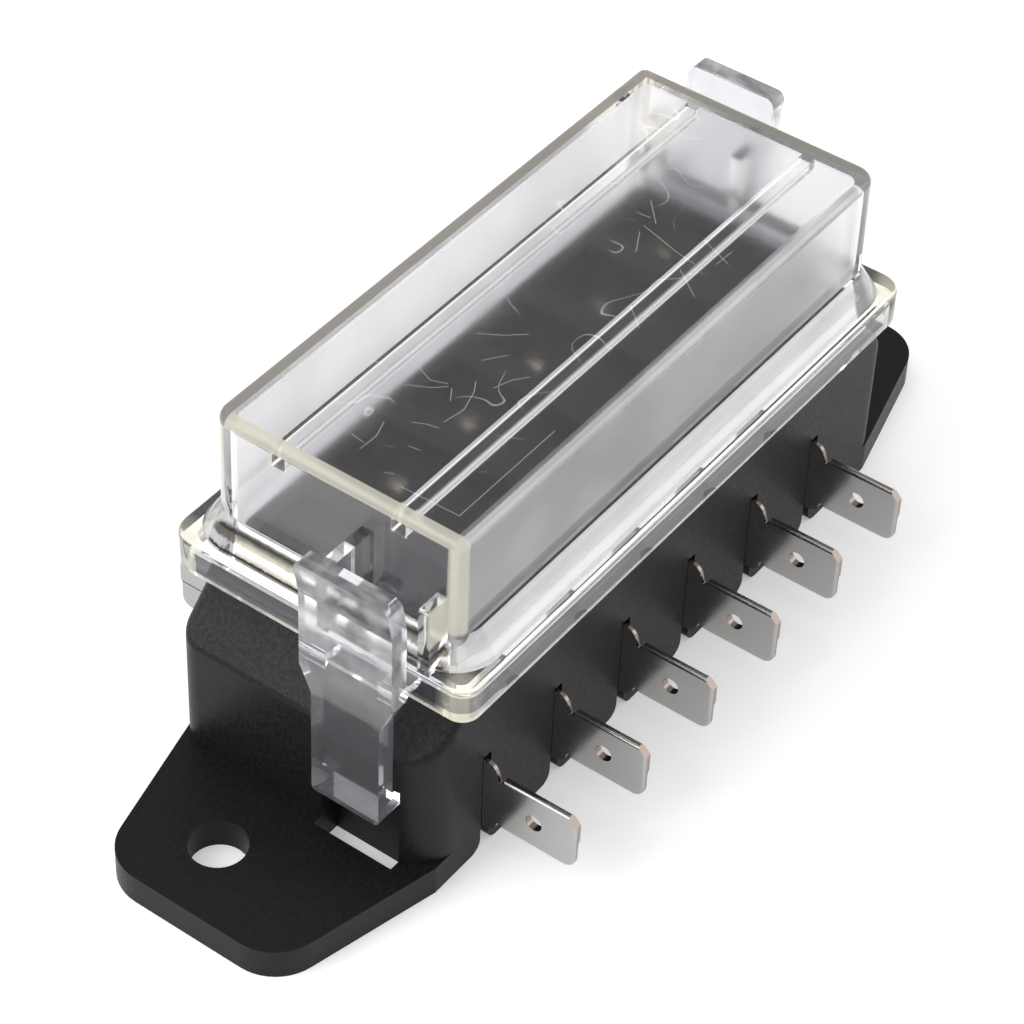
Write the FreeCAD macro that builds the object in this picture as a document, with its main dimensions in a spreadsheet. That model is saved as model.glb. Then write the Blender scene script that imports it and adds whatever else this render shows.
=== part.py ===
import FreeCAD, Part
import math
import os

import Sketcher

# Blade fuse block with side-entry tabs, two mounting ears and a clear cover held by two clips.
# Millimetres. The origin is at the middle of the underside, +X runs along the row of fuses and
# +Z is up. The whole block looks the same after half a turn about Z, so the ears' holes, the
# clips and the two rows of tabs stand opposite each other, not mirrored.

DRIVING_SIZES = [
    ("way_count", 6, "fuse ways in the row"),
    ("way_pitch", 10.7, "from one fuse to the next"),
    ("end_wall_place", 10.65, "last fuse to the block's end wall"),
    ("base_width", 28.56, "block across its side walls"),
    ("base_height", 26.0, "underside to the top of the block"),
    ("base_corner", 4.0, "plan radius of the block's front right and rear left corners"),
    ("base_other_corner", 2.4, "plan radius of the block's other two corners"),
    ("slope_edge", 1.2, "radius along the edges of the sloped ends"),
    ("end_wall_height", 16.0, "underside to the sloped end shoulders"),
    ("side_ledge_drop", 1.65, "top of the block to the ledge that carries the cover"),
    ("ear_reach", 15.8, "how far an ear stands out from its end wall"),
    ("ear_thickness", 3.3, "thickness of an ear"),
    ("ear_end_width", 19.9, "width of an ear at its tip"),
    ("ear_root_back", 1.5, "end wall back to where an ear is as wide as the block"),
    ("ear_corner", 5.0, "plan radius of an ear's corners"),
    ("ear_hole", 5.6, "diameter of a fixing hole"),
    ("hole_place", 8.2, "fixing hole from the end wall"),
    ("hole_offset", 2.75, "fixing hole from the long centre line"),
    ("well_width", 7.6, "recess for the foot of a fuse, along the row"),
    ("well_length", 20.4, "recess for the foot of a fuse, across the row"),
    ("well_depth", 2.0, "depth of that recess"),
    ("socket_floor", 1.65, "plastic left above a terminal's jaw"),
    ("mouth_width", 3.2, "opening for a fuse blade, along the row"),
    ("jaw_place", 7.0, "middle of a jaw from the long centre line"),
    ("jaw_length", 4.8, "length of a jaw along the fuse blade"),
    ("jaw_gap", 4.12, "inside width of a jaw at its foot"),
    ("jaw_nip", 0.24, "gap left between the relaxed jaw leaves"),
    ("jaw_flare", 3.0, "gap between the flared tips of the leaves"),
    ("leaf_length", 10.35, "jaw tips down to where the leaves start to lean in"),
    ("leaf_lead", 2.55, "jaw tips down to where the leaves come closest"),
    ("sheet", 0.4, "thickness of the terminal strip"),
    ("root_foot", 3.2, "lower edge of a terminal's root"),
    ("root_width", 8.63, "height of a terminal's root"),
    ("tab_foot", 4.15, "lower edge of a tab"),
    ("tab_width", 6.3, "width of a tab"),
    ("tab_tip", 24.43, "tip of a tab from the long centre line"),
    ("tab_fold_start", 16.55, "where the folded tab starts, from the long centre line"),
    ("tab_tip_radius", 1.2, "rounded lower corner of a tab"),
    ("tab_tip_chamfer", 0.9, "sloped upper corner of a tab"),
    ("tab_hole", 1.75, "diameter of the latch hole"),
    ("tab_hole_back", 4.49, "latch hole from the tip"),
    ("fold_seam", 0.12, "gap between the two folded flaps"),
    ("notch_depth", 0.5, "notch where the root meets the tab"),
    ("notch_length", 0.5, "length of that notch along the tab"),
    ("shoulder_run", 0.5, "notch to the full height of the root, along the tab"),
    ("shoulder_round", 1.3, "radius of that shoulder"),
    ("notch_round", 0.2, "radius inside the notch"),
    ("fold_round", 0.3, "rounded long edges of the folded tab"),
    ("root_rib_drop", 0.7, "rib below the middle of the tab"),
    ("root_rib_width", 0.8, "width of the rib pressed into the root"),
    ("root_rib_height", 0.25, "height of that rib"),
    ("jaw_play", 0.05, "room on each side of a jaw in its chamber"),
    ("jaw_end_play", 0.2, "room past each end of a jaw in its chamber"),
    ("slot_play", 0.1, "room beside the rib in the side wall slot"),
    ("slot_height", 12.0, "height of the side wall slots"),
    ("slot_mouth", 1.3, "radius at the foot of the side wall slots"),
    ("cover_wall", 1.55, "wall of the cover"),
    ("cover_play", 0.25, "gap between the block's top and the cover's walls"),
    ("cover_seat", 0.02, "gap under the cover's flange"),
    ("cover_height", 17.23, "foot of the skirt to the top of the cover"),
    ("cover_plate", 1.7, "top plate of the cover"),
    ("cover_corner", 1.1, "plan radius of the cover's front right and rear left corners"),
    ("cover_other_corner", 2.2, "plan radius of the cover's other two corners"),
    ("cover_edge", 0.85, "rounded top edge of the cover"),
    ("cover_draft", 0.5, "draft of the cover's walls in degrees"),
    ("cover_end_gap", 4.75, "end wall of the block to the foot of the cover's end wall"),
    ("cover_side_gap", 0.58, "side wall of the block to the foot of the cover's side wall"),
    ("flange_reach", 2.69, "skirt face out from the cover's end wall"),
    ("flange_side_reach", 2.93, "skirt face out from the cover's side wall"),
    ("flange_thickness", 1.6, "thickness of the flange"),
    ("skirt_height", 3.5, "foot of the skirt to the top of the flange"),
    ("skirt_wall", 1.6, "wall of the skirt"),
    ("skirt_corner", 1.8, "plan radius of the skirt's front right and rear left corners"),
    ("skirt_other_corner", 2.6, "plan radius of the skirt's other two corners"),
    ("skirt_edge", 0.45, "rounded upper edge of the skirt"),
    ("shoulder_corner", 4.6, "plan radius of the sloped shoulder"),
    ("shoulder_step", 0.94, "flat ledge around the sloped shoulder"),
    ("shoulder_rise", 2.8, "height of the sloped shoulder"),
    ("shoulder_slope", 32.0, "slope of the shoulder from upright in degrees"),
    ("rib_place", 6.5, "ribs under the top plate from the centre line"),
    ("rib_width", 1.4, "width of those ribs"),
    ("rib_depth", 1.3, "depth of those ribs"),
    ("fin_thickness", 1.2, "fins beside a clip"),
    ("fin_height", 10.83, "foot of the skirt to the top of a fin"),
    ("fin_setback", 0.15, "front edge of a fin behind the skirt face"),
    ("fin_round", 0.3, "rounded top front edge of a fin"),
    ("clip_place", 6.8, "middle of a clip from the long centre line"),
    ("clip_sheet", 2.0, "thickness of a clip"),
    ("clip_head_width", 10.0, "width of a clip's head"),
    ("clip_leg_width", 7.45, "width of a clip's leg"),
    ("clip_web", 1.0, "thickness of the web that the clip rocks on"),
    ("clip_web_drop", 0.52, "middle of the web below the flange's top"),
    ("clip_web_length", 1.61, "pivot to the back of the clip"),
    ("clip_web_round", 0.8, "radius where a web joins the plate"),
    ("clip_window", 5.6, "gap between the two webs"),
    ("clip_play", 0.05, "running gap between the web's end and the skirt"),
    ("clip_head_rise", 11.75, "pivot to the top of the clip"),
    ("clip_head_round", 1.0, "rounded upper corners of the head"),
    ("clip_foot_round", 0.5, "rounded lower corners of the leg"),
    ("clip_head_bend", 7.6, "pivot to the bend in the head"),
    ("clip_head_lean", 0.8, "how far the head leans out at its top"),
    ("clip_taper_top", 1.0, "pivot down to where the head starts to taper"),
    ("clip_taper_foot", 3.8, "pivot down to where the leg starts"),
    ("clip_leg_drop", 16.05, "pivot down to the foot of the leg"),
    ("hook_reach", 1.7, "how far the hook stands in from the leg"),
    ("hook_height", 2.7, "height of the hook"),
    ("catch_play", 0.2, "gap between the hook and the end wall above it"),
    ("recess_play", 0.65, "room on each side of the leg in its recess"),
    ("recess_back_play", 0.7, "room behind the hook in its recess"),
    ("recess_reach", 1.05, "how far the recess cuts into the ear"),
]

document = FreeCAD.newDocument("blade_fuse_block")
sheet = document.addObject("Spreadsheet::Sheet", "Sizes")


class Size:
    """A length that knows its number and the sheet formula that it comes from."""

    def __init__(self, number, formula):
        self.number = number
        self.formula = formula

    def __add__(self, other):
        other = as_size(other)
        return Size(self.number + other.number, "(%s + %s)" % (self.formula, other.formula))

    def __sub__(self, other):
        other = as_size(other)
        return Size(self.number - other.number, "(%s - %s)" % (self.formula, other.formula))

    def __mul__(self, factor):
        return Size(self.number * factor, "(%s * %s)" % (self.formula, factor))

    def __truediv__(self, divisor):
        return Size(self.number / divisor, "(%s / %s)" % (self.formula, divisor))

    def __neg__(self):
        return self * -1


def as_size(value):
    return value if isinstance(value, Size) else Size(value, str(value))


def read_sizes():
    """Fills the sheet, one row a size, and gives each size under its alias."""
    sizes = {}
    for row, (name, number, words) in enumerate(DRIVING_SIZES, start=1):
        sheet.set("A%d" % row, words)
        sheet.set("B%d" % row, str(number))
        sheet.setAlias("B%d" % row, name)
        sizes[name] = Size(number, "Sizes." + name)
    return sizes


S = read_sizes()
document.recompute()
ZERO = as_size(0)


def new_body(name):
    body = document.addObject("PartDesign::Body", name)
    body.Label = name
    return body


def origin_feature(body, role):
    return [feature for feature in body.Origin.OriginFeatures if feature.Role == role][0]


def new_sketch(body, name, plane, offset=ZERO):
    """A sketch on one of the body's own planes, moved along that plane's normal."""
    sketch = body.newObject("Sketcher::SketchObject", name)
    sketch.AttachmentSupport = [(origin_feature(body, plane), "")]
    sketch.MapMode = "FlatFace"
    if offset is not ZERO:
        sketch.setExpression("AttachmentOffset.Base.z", offset.formula)
    return sketch


def hold(sketch, kind, places, size):
    """Adds a driving distance to the sketch and ties it to the sheet."""
    index = sketch.addConstraint(Sketcher.Constraint(kind, *places, size.number))
    sketch.setExpression("Constraints[%d]" % index, size.formula)


def add_outline(sketch, corners):
    """Closes a loop of straight lines, each corner held by two distances from the origin."""
    points = [FreeCAD.Vector(x.number, y.number, 0) for x, y in corners]
    first = sketch.GeometryCount
    ring = list(zip(points, points[1:] + points[:1]))
    sketch.addGeometry([Part.LineSegment(start, end) for start, end in ring], False)
    for index, (x, y) in enumerate(corners):
        line = first + index
        following = first + (index + 1) % len(corners)
        sketch.addConstraint(Sketcher.Constraint("Coincident", line, 2, following, 1))
        hold(sketch, "DistanceX", (line, 1), x)
        hold(sketch, "DistanceY", (line, 1), y)


def rectangle(low_x, high_x, low_y, high_y):
    return [(low_x, low_y), (high_x, low_y), (high_x, high_y), (low_x, high_y)]


def add_rounded_rectangle(sketch, half_length, half_width, radius, other_radius):
    """Four lines and four arcs about the sketch's origin. Opposite corners share a radius."""
    long, wide = half_length.number, half_width.number
    normal = FreeCAD.Vector(0, 0, 1)
    quarter = math.pi / 2
    turns = [(1, -1, other_radius), (1, 1, radius), (-1, 1, other_radius), (-1, -1, radius)]
    centres = [(sx * (long - r.number), sy * (wide - r.number)) for sx, sy, r in turns]
    first = sketch.GeometryCount
    for index, ((x, y), (_, _, size)) in enumerate(zip(centres, turns)):
        circle = Part.Circle(FreeCAD.Vector(x, y, 0), normal, size.number)
        begin = (index - 1) * quarter
        sketch.addGeometry(Part.ArcOfCircle(circle, begin, begin + quarter), False)
    (x0, y0), (x1, y1), (x2, y2), (x3, y3) = centres
    sides = [((long, y0), (long, y1)), ((x1, wide), (x2, wide)),
             ((-long, y2), (-long, y3)), ((x3, -wide), (x0, -wide))]
    for start, end in sides:
        line = Part.LineSegment(FreeCAD.Vector(*start, 0), FreeCAD.Vector(*end, 0))
        sketch.addGeometry(line, False)
    for index in range(4):
        arc, line, next_arc = first + index, first + 4 + index, first + (index + 1) % 4
        sketch.addConstraint(Sketcher.Constraint("Tangent", arc, 2, line, 1))
        sketch.addConstraint(Sketcher.Constraint("Tangent", line, 2, next_arc, 1))
    for index, (_, _, size) in enumerate(turns):
        hold(sketch, "Radius", (first + index,), size)
    hold(sketch, "DistanceX", (first + 4, 1), half_length)
    hold(sketch, "DistanceX", (first + 4, 2), half_length)
    hold(sketch, "DistanceY", (first + 5, 1), half_width)
    hold(sketch, "DistanceY", (first + 5, 2), half_width)
    hold(sketch, "DistanceX", (first + 6, 1), -half_length)
    hold(sketch, "DistanceY", (first + 7, 1), -half_width)


def extrude(body, kind, sketch, length, name, reverse=False, both_ways=False):
    """A pad or pocket of the sketch, along its normal unless reversed, or to both sides of it."""
    feature = body.newObject("PartDesign::" + kind, name)
    feature.Profile = sketch
    feature.setExpression("Length", length.formula)
    feature.Reversed = reverse
    feature.SideType = "Symmetric" if both_ways else "One side"
    return feature


def repeat_along_row(body, features, name):
    """Copies the features of the first way to every other way of the row."""
    pattern = body.newObject("PartDesign::LinearPattern", name)
    pattern.Originals = features
    pattern.Direction = (origin_feature(body, "X_Axis"), [""])
    pattern.setExpression("Occurrences", S["way_count"].formula)
    pattern.setExpression("Length", row_length.formula)
    body.Tip = pattern
    return pattern


def half_turn(body, features, name):
    """Adds the copy that faces the other way, half a turn about Z."""
    pattern = body.newObject("PartDesign::PolarPattern", name)
    pattern.Originals = features
    pattern.Axis = (origin_feature(body, "Z_Axis"), [""])
    pattern.Angle = 360
    pattern.Occurrences = 2
    body.Tip = pattern
    return pattern


def soften(body, kind, wanted, size, name):
    """A fillet or chamfer on the edges of the body's tip that the test picks out."""
    document.recompute()
    base = body.Tip
    edges = base.Shape.Edges
    names = ["Edge%d" % (index + 1) for index, edge in enumerate(edges) if wanted(edge)]
    feature = body.newObject("PartDesign::" + kind, name)
    feature.Base = (base, names)
    feature.setExpression("Radius" if kind == "Fillet" else "Size", size.formula)
    body.Tip = feature
    return feature


def close(value, target):
    return abs(value - target) < 0.01


def ends(edge):
    return [vertex.Point for vertex in edge.Vertexes]


def runs_along(edge, axis):
    """True for a straight edge that runs along the given axis, 0 for X, 1 for Y and 2 for Z."""
    points = ends(edge)
    if len(points) < 2:
        return False
    return all(close(points[0][other], points[1][other]) for other in range(3) if other != axis)


def place(body, x, y, z, half_turned=False):
    """Puts the finished body in the block, turned half a turn for the far side or end."""
    body.Placement.Rotation = FreeCAD.Rotation(FreeCAD.Vector(0, 0, 1), 180 if half_turned else 0)
    body.setExpression("Placement.Base.x", x.formula)
    body.setExpression("Placement.Base.y", y.formula)
    body.setExpression("Placement.Base.z", z.formula)


# Sizes that several pieces share

row_length = Size((S["way_count"].number - 1) * S["way_pitch"].number,
                  "((Sizes.way_count - 1) * Sizes.way_pitch)")
first_way = -row_length / 2
half_length = row_length / 2 + S["end_wall_place"]
half_width = S["base_width"] / 2
cover_half_length = half_length - S["cover_end_gap"]
cover_half_width = half_width - S["cover_side_gap"]
inner_half_length = cover_half_length - S["cover_wall"]
inner_half_width = cover_half_width - S["cover_wall"]
skirt_half_length = cover_half_length + S["flange_reach"]
skirt_half_width = cover_half_width + S["flange_side_reach"]
ledge_height = S["base_height"] - S["side_ledge_drop"]
cover_foot = ledge_height + S["cover_seat"] - (S["skirt_height"] - S["flange_thickness"])
flange_top = cover_foot + S["skirt_height"]
pivot_height = flange_top - S["clip_web_drop"]
pivot_x = skirt_half_length + S["clip_play"] + S["clip_web"] / 2
jaw_half_width = S["jaw_gap"] / 2 + S["sheet"]
jaw_near = S["jaw_place"] - S["jaw_length"] / 2
jaw_far = S["jaw_place"] + S["jaw_length"] / 2
well_floor = S["base_height"] - S["well_depth"]
jaw_top = well_floor - S["socket_floor"]
leg_back = pivot_x + S["clip_web_length"]
hook_tip = leg_back - S["hook_reach"]
leg_foot = pivot_height - S["clip_leg_drop"]
hook_top = leg_foot + S["hook_height"]


def make_base():
    """The moulded block: two ears, fuse wells, jaw chambers, tab slots and the clip recesses."""
    body = new_body("base_housing")
    plug_half_length = inner_half_length - S["cover_play"]
    plug_half_width = inner_half_width - S["cover_play"]

    plan = new_sketch(body, "block_plan", "XY_Plane")
    add_rounded_rectangle(plan, half_length, half_width, S["base_corner"], S["base_other_corner"])
    extrude(body, "Pad", plan, ledge_height, "block")

    # Each end slopes in at 45 degrees above its wall
    ends_cut = new_sketch(body, "end_slopes", "XZ_Plane")
    over = half_length + 1
    rise = ledge_height + 1 - S["end_wall_height"]
    for sign in (-1, 1):
        add_outline(ends_cut, [
            (over * sign, S["end_wall_height"] - 1),
            ((half_length - rise) * sign, ledge_height + 1),
            (over * sign, ledge_height + 1),
        ])
    body.Tip = extrude(body, "Pocket", ends_cut, S["base_width"] + 2, "end_slopes_cut", both_ways=True)

    def borders_slope(edge):
        """True for an edge between a sloped end and a wall."""
        return all(close(abs(point.x) + point.z, half_length.number + S["end_wall_height"].number)
                   for point in ends(edge)) and any(
                       point.z < ledge_height.number - 0.01 for point in ends(edge))

    soften(body, "Fillet", borders_slope, S["slope_edge"], "slope_rounds")

    # The plug stands up inside the cover, and the ledges beside it carry the cover's flange
    plug = new_sketch(body, "plug_plan", "XY_Plane", S["end_wall_height"])
    add_rounded_rectangle(plug, plug_half_length, plug_half_width, S["cover_corner"],
                          S["cover_other_corner"])
    extrude(body, "Pad", plug, S["base_height"] - S["end_wall_height"], "plug")

    ears = new_sketch(body, "ear_plan", "XY_Plane")
    reach = half_length + S["ear_reach"]
    inside = half_length - S["base_corner"]
    ear_root = half_length - S["ear_root_back"]
    for sign in (-1, 1):
        add_outline(ears, [
            (inside * sign, -half_width),
            (ear_root * sign, -half_width),
            (reach * sign, -S["ear_end_width"] / 2),
            (reach * sign, S["ear_end_width"] / 2),
            (ear_root * sign, half_width),
            (inside * sign, half_width),
        ])
    extrude(body, "Pad", ears, S["ear_thickness"], "ears")
    soften(body, "Fillet",
           lambda edge: runs_along(edge, 2) and close(abs(ends(edge)[0].x), reach.number),
           S["ear_corner"], "ear_corners")

    hole = new_sketch(body, "ear_hole_plan", "XY_Plane")
    hole_x = -half_length - S["hole_place"]
    centre = FreeCAD.Vector(hole_x.number, S["hole_offset"].number, 0)
    hole.addGeometry(Part.Circle(centre, FreeCAD.Vector(0, 0, 1), S["ear_hole"].number / 2), False)
    hold(hole, "DistanceX", (0, 3), hole_x)
    hold(hole, "DistanceY", (0, 3), S["hole_offset"])
    hold(hole, "Radius", (0,), S["ear_hole"] / 2)
    ear_hole = extrude(body, "Pocket", hole, S["ear_thickness"] + 1, "ear_hole_cut", reverse=True)
    body.Tip = ear_hole
    half_turn(body, [ear_hole], "ear_holes")

    # The clip's leg hangs in front of the end wall, and its hook catches under the wall's edge in
    # a recess that also cuts through the ear
    recess_half = S["clip_leg_width"] / 2 + S["recess_play"]
    recess_low = -S["clip_place"] - recess_half
    recess_high = -S["clip_place"] + recess_half
    recess_back = hook_tip - S["recess_back_play"]
    recess_front = half_length + S["recess_reach"]
    recess = new_sketch(body, "recess_side", "XZ_Plane", -(recess_low + recess_half))
    add_outline(recess, rectangle(-recess_front, -recess_back, ZERO - 1, hook_top + S["catch_play"]))
    recess_cut = extrude(body, "Pocket", recess, recess_high - recess_low, "recess_cut", both_ways=True)
    body.Tip = recess_cut
    half_turn(body, [recess_cut], "recesses")

    # One way: the well for the fuse's foot, two jaw chambers, their mouths and the tab slots
    well = new_sketch(body, "well_plan", "XY_Plane", well_floor)
    add_outline(well, rectangle(first_way - S["well_width"] / 2, first_way + S["well_width"] / 2,
                                -S["well_length"] / 2, S["well_length"] / 2))
    well_cut = extrude(body, "Pocket", well, S["well_depth"] + 1, "well_cut", reverse=True)

    chamber_half = jaw_half_width + S["jaw_play"]
    chamber_near = jaw_near - S["jaw_end_play"]
    chamber_far = jaw_far + S["jaw_end_play"]
    chamber = new_sketch(body, "chamber_plan", "XY_Plane")
    mouth = new_sketch(body, "mouth_plan", "XY_Plane", jaw_top)
    for low, high in ((-chamber_far, -chamber_near), (chamber_near, chamber_far)):
        add_outline(chamber, rectangle(first_way - chamber_half, first_way + chamber_half, low, high))
        add_outline(mouth, rectangle(first_way - S["mouth_width"] / 2,
                                     first_way + S["mouth_width"] / 2, low, high))
    chamber_cut = extrude(body, "Pocket", chamber, jaw_top, "chamber_cut", reverse=True)
    mouth_cut = extrude(body, "Pocket", mouth, S["socket_floor"] + 0.1, "mouth_cut", reverse=True)

    slot = new_sketch(body, "slot_plan", "XY_Plane")
    slot_near = jaw_half_width + S["jaw_play"]
    slot_far = S["jaw_gap"] / 2 - S["root_rib_height"] - S["slot_play"] - S["sheet"]
    add_outline(slot, rectangle(first_way - slot_near, first_way - slot_far,
                                -half_width - 1, -S["jaw_place"]))
    add_outline(slot, rectangle(first_way + slot_far, first_way + slot_near,
                                S["jaw_place"], half_width + 1))
    slot_cut = extrude(body, "Pocket", slot, S["slot_height"], "slot_cut", reverse=True)
    body.Tip = slot_cut
    repeat_along_row(body, [well_cut, chamber_cut, mouth_cut, slot_cut], "ways")
    slot_feet = [first_way.number + S["way_pitch"].number * way + side * width
                 for way in range(S["way_count"].number)
                 for side in (-1, 1) for width in (slot_near.number, slot_far.number)]
    soften(body, "Fillet",
           lambda edge: runs_along(edge, 1) and close(ends(edge)[0].z, 0)
           and any(close(ends(edge)[0].x, place) for place in slot_feet)
           and max(abs(point.y) for point in ends(edge)) > half_width.number - 0.01,
           S["slot_mouth"], "slot_feet")
    return body


def make_terminal(name, way, far_side):
    """One strip of sheet: a jaw that grips the fuse blade, a flat root and a tab folded double."""
    body = new_body(name)
    tip = -S["tab_tip"]
    fold_start = -S["tab_fold_start"]
    tab_top = S["tab_foot"] + S["tab_width"]
    tab_middle = S["tab_foot"] + S["tab_width"] / 2
    root_top = S["root_foot"] + S["root_width"]
    wall_face = -half_width

    # Face of the strip seen along the row: root, curved shoulders, notches and tab
    strip = new_sketch(body, "strip_face", "YZ_Plane", -S["sheet"])
    notch_foot = S["tab_foot"] + S["notch_depth"]
    notch_top = tab_top - S["notch_depth"]
    notch_end = fold_start + S["notch_length"]
    shoulder_end = notch_end + S["shoulder_run"]
    add_outline(strip, [
        (tip, S["tab_foot"]),
        (fold_start, S["tab_foot"]),
        (fold_start, notch_foot),
        (notch_end, notch_foot),
        (shoulder_end, S["root_foot"]),
        (-jaw_near, S["root_foot"]),
        (-jaw_near, root_top),
        (shoulder_end, root_top),
        (notch_end, notch_top),
        (fold_start, notch_top),
        (fold_start, tab_top),
        (tip + S["tab_tip_chamfer"], tab_top),
        (tip, tab_top - S["tab_tip_chamfer"]),
    ])
    body.Tip = extrude(body, "Pad", strip, S["sheet"], "strip")

    def stands_at(edge, y, heights):
        """True for an edge through the sheet at this distance from the block and these heights."""
        return runs_along(edge, 0) and close(ends(edge)[0].y, y.number) and any(
            close(ends(edge)[0].z, height.number) for height in heights)

    soften(body, "Fillet",
           lambda edge: stands_at(edge, shoulder_end, (S["root_foot"], root_top)),
           S["shoulder_round"], "shoulders")
    soften(body, "Fillet", lambda edge: stands_at(edge, notch_end, (notch_foot, notch_top)),
           S["notch_round"], "notch_rounds")

    # The two flaps folded over onto the strip, with their seam between them
    flaps = new_sketch(body, "flap_face", "YZ_Plane")
    add_outline(flaps, [
        (tip, S["tab_foot"]),
        (fold_start, S["tab_foot"]),
        (fold_start, tab_middle - S["fold_seam"] / 2),
        (tip, tab_middle - S["fold_seam"] / 2),
    ])
    add_outline(flaps, [
        (tip, tab_middle + S["fold_seam"] / 2),
        (fold_start, tab_middle + S["fold_seam"] / 2),
        (fold_start, tab_top),
        (tip + S["tab_tip_chamfer"], tab_top),
        (tip, tab_top - S["tab_tip_chamfer"]),
    ])
    extrude(body, "Pad", flaps, S["sheet"], "flaps")

    # The jaw, a channel whose leaves lean in, nip the fuse blade and flare at their tips
    middle = S["jaw_gap"] / 2
    lean_start = jaw_top - S["leaf_length"]
    nip_height = jaw_top - S["leaf_lead"]
    nip = S["jaw_nip"] / 2
    flare = S["jaw_flare"] / 2
    jaw = new_sketch(body, "jaw_section", "XZ_Plane", S["jaw_place"])
    foot_top = S["root_foot"] + S["sheet"]
    add_outline(jaw, [
        (-S["sheet"], S["root_foot"]),
        (S["jaw_gap"] + S["sheet"], S["root_foot"]),
        (S["jaw_gap"] + S["sheet"], lean_start),
        (middle + nip + S["sheet"], nip_height),
        (middle + flare + S["sheet"], jaw_top),
        (middle + flare, jaw_top),
        (middle + nip, nip_height),
        (S["jaw_gap"], lean_start),
        (S["jaw_gap"], foot_top),
        (ZERO, foot_top),
        (ZERO, lean_start),
        (middle - nip, nip_height),
        (middle - flare, jaw_top),
        (middle - flare - S["sheet"], jaw_top),
        (middle - nip - S["sheet"], nip_height),
        (-S["sheet"], lean_start),
    ])
    extrude(body, "Pad", jaw, S["jaw_length"], "jaw", both_ways=True)

    rib = new_sketch(body, "root_rib_face", "YZ_Plane")
    rib_middle = tab_middle - S["root_rib_drop"]
    add_outline(rib, rectangle(fold_start, wall_face + S["root_rib_width"],
                               rib_middle - S["root_rib_width"] / 2,
                               rib_middle + S["root_rib_width"] / 2))
    extrude(body, "Pad", rib, S["root_rib_height"], "root_rib")

    latch = new_sketch(body, "latch_hole_face", "YZ_Plane", -S["sheet"] * 2)
    centre = FreeCAD.Vector((tip + S["tab_hole_back"]).number, tab_middle.number, 0)
    latch.addGeometry(Part.Circle(centre, FreeCAD.Vector(0, 0, 1), S["tab_hole"].number / 2), False)
    hold(latch, "DistanceX", (0, 3), tip + S["tab_hole_back"])
    hold(latch, "DistanceY", (0, 3), tab_middle)
    hold(latch, "Radius", (0,), S["tab_hole"] / 2)
    latch_cut = extrude(body, "Pocket", latch, S["sheet"] * 4, "latch_hole", reverse=True)
    body.Tip = latch_cut

    soften(body, "Fillet",
           lambda edge: runs_along(edge, 0) and close(ends(edge)[0].y, tip.number)
           and close(ends(edge)[0].z, S["tab_foot"].number),
           S["tab_tip_radius"], "tab_tip_round")
    soften(body, "Fillet",
           lambda edge: runs_along(edge, 1) and close(abs(ends(edge)[0].x), S["sheet"].number)
           and any(close(ends(edge)[0].z, height.number) for height in (S["tab_foot"], tab_top)),
           S["fold_round"], "fold_rounds")

    fuse_plane = first_way + S["way_pitch"] * way
    place(body, fuse_plane + middle if far_side else fuse_plane - middle, ZERO, ZERO, far_side)
    return body


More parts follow.
